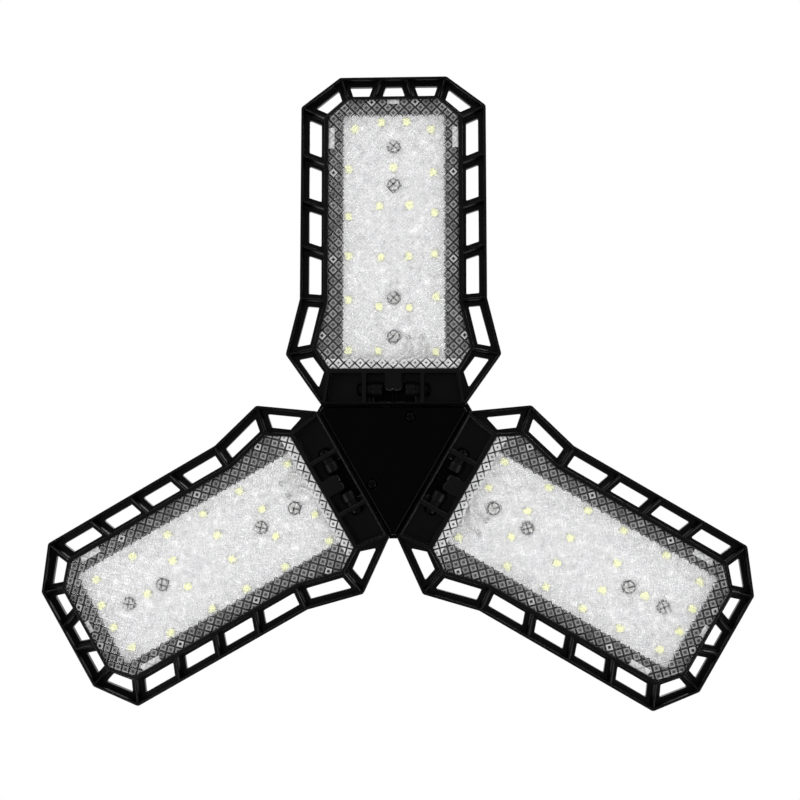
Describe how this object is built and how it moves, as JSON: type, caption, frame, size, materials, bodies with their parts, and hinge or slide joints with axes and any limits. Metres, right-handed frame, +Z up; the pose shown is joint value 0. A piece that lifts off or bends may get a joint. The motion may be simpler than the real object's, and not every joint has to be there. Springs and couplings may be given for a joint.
{
  "type": "deformable garage light",
  "caption": "Ceiling lamp of flat light leaves with open moulded borders, hinged to a triangular hub under a vented neck and a screw cap.",
  "frame": {"origin": "on the lamp's axis, in the plane where the screw cap's skirt meets the neck's collar", "axes": "+Z up along the cap, against the direction of the light; leaf a points along -Y, leaves b and c at 30 and 150 degrees from +X"},
  "size_m": [0.2982, 0.2662, 0.098],
  "materials": {
    "frame_black": "semi-gloss moulded black",
    "lens_clear": "clear, pyramid-textured face",
    "board_white": "white solder mask on aluminium",
    "led_phosphor": "pale yellow phosphor under silicone",
    "heat_sink_black": "black anodised",
    "screw_steel": "zinc plated",
    "screw_black": "black oxide",
    "wire_white": "insulation",
    "wire_red": "insulation",
    "washer_fibre": "nylon friction bush",
    "hub_black": "satin black painted die-casting",
    "cover_black": "gloss black",
    "neck_black": "fine-textured black",
    "driver_laminate": "laminate with green mask",
    "socket_white": "moulded nylon",
    "capacitor_sleeve": "shrink sleeve",
    "winding_tape": "polyester tape",
    "chip_black": "moulded epoxy",
    "resistor_body": "flameproof coating",
    "cap_nickel": "nickel plated brass",
    "insulator_black": "vitreous black",
    "contact_metal": "tinned brass"
  },
  "bodies": {
    "hub": {"cap_insulator": "insulator_black", "centre_contact": "contact_metal", "cover_screws": "screw_black", "driver_board": "driver_laminate", "driver_capacitor": "capacitor_sleeve", "driver_chips": "chip_black", "driver_socket": "socket_white", "driver_transformer": "winding_tape", "fuse_resistor": "resistor_body", "hinge_screws_a": "screw_black", "hinge_screws_b": "screw_black", "hinge_screws_c": "screw_black", "hinge_washers_a": "washer_fibre", "hinge_washers_b": "washer_fibre", "hinge_washers_c": "washer_fibre", "hub_body": "hub_black", "hub_cover": "cover_black", "hub_wires_a": "wire_white", "hub_wires_b": "wire_white", "hub_wires_c": "wire_white", "mains_leads": "wire_red", "neck_housing": "neck_black", "neck_screws": "screw_steel", "screw_shell": "cap_nickel"},
    "leaf_a": {"board_screws_a": "screw_steel", "heat_sink_a": "heat_sink_black", "leaf_frame_a": "frame_black", "leaf_wires_a": "wire_white", "led_board_a": "board_white", "leds_a": "led_phosphor", "lens_a": "lens_clear", "sink_screws_a": "screw_black"},
    "leaf_b": {"board_screws_b": "screw_steel", "heat_sink_b": "heat_sink_black", "leaf_frame_b": "frame_black", "leaf_wires_b": "wire_white", "led_board_b": "board_white", "leds_b": "led_phosphor", "lens_b": "lens_clear", "sink_screws_b": "screw_black"},
    "leaf_c": {"board_screws_c": "screw_steel", "heat_sink_c": "heat_sink_black", "leaf_frame_c": "frame_black", "leaf_wires_c": "wire_white", "led_board_c": "board_white", "leds_c": "led_phosphor", "lens_c": "lens_clear", "sink_screws_c": "screw_black"}
  },
  "joints": [
    {"name": "leaf_a_fold", "type": "hinge", "parent": "hub", "child": "leaf_a", "pos_m": [0, -0.026, -0.068], "axis": [1, 0, 0], "range_deg": [0, 70]},
    {"name": "leaf_b_fold", "type": "hinge", "parent": "hub", "child": "leaf_b", "pos_m": [0.02252, 0.013, -0.068], "axis": [-0.5, 0.866, 0], "range_deg": [0, 70]},
    {"name": "leaf_c_fold", "type": "hinge", "parent": "hub", "child": "leaf_c", "pos_m": [-0.02252, 0.013, -0.068], "axis": [-0.5, -0.866, 0], "range_deg": [0, 70]}
  ]
}
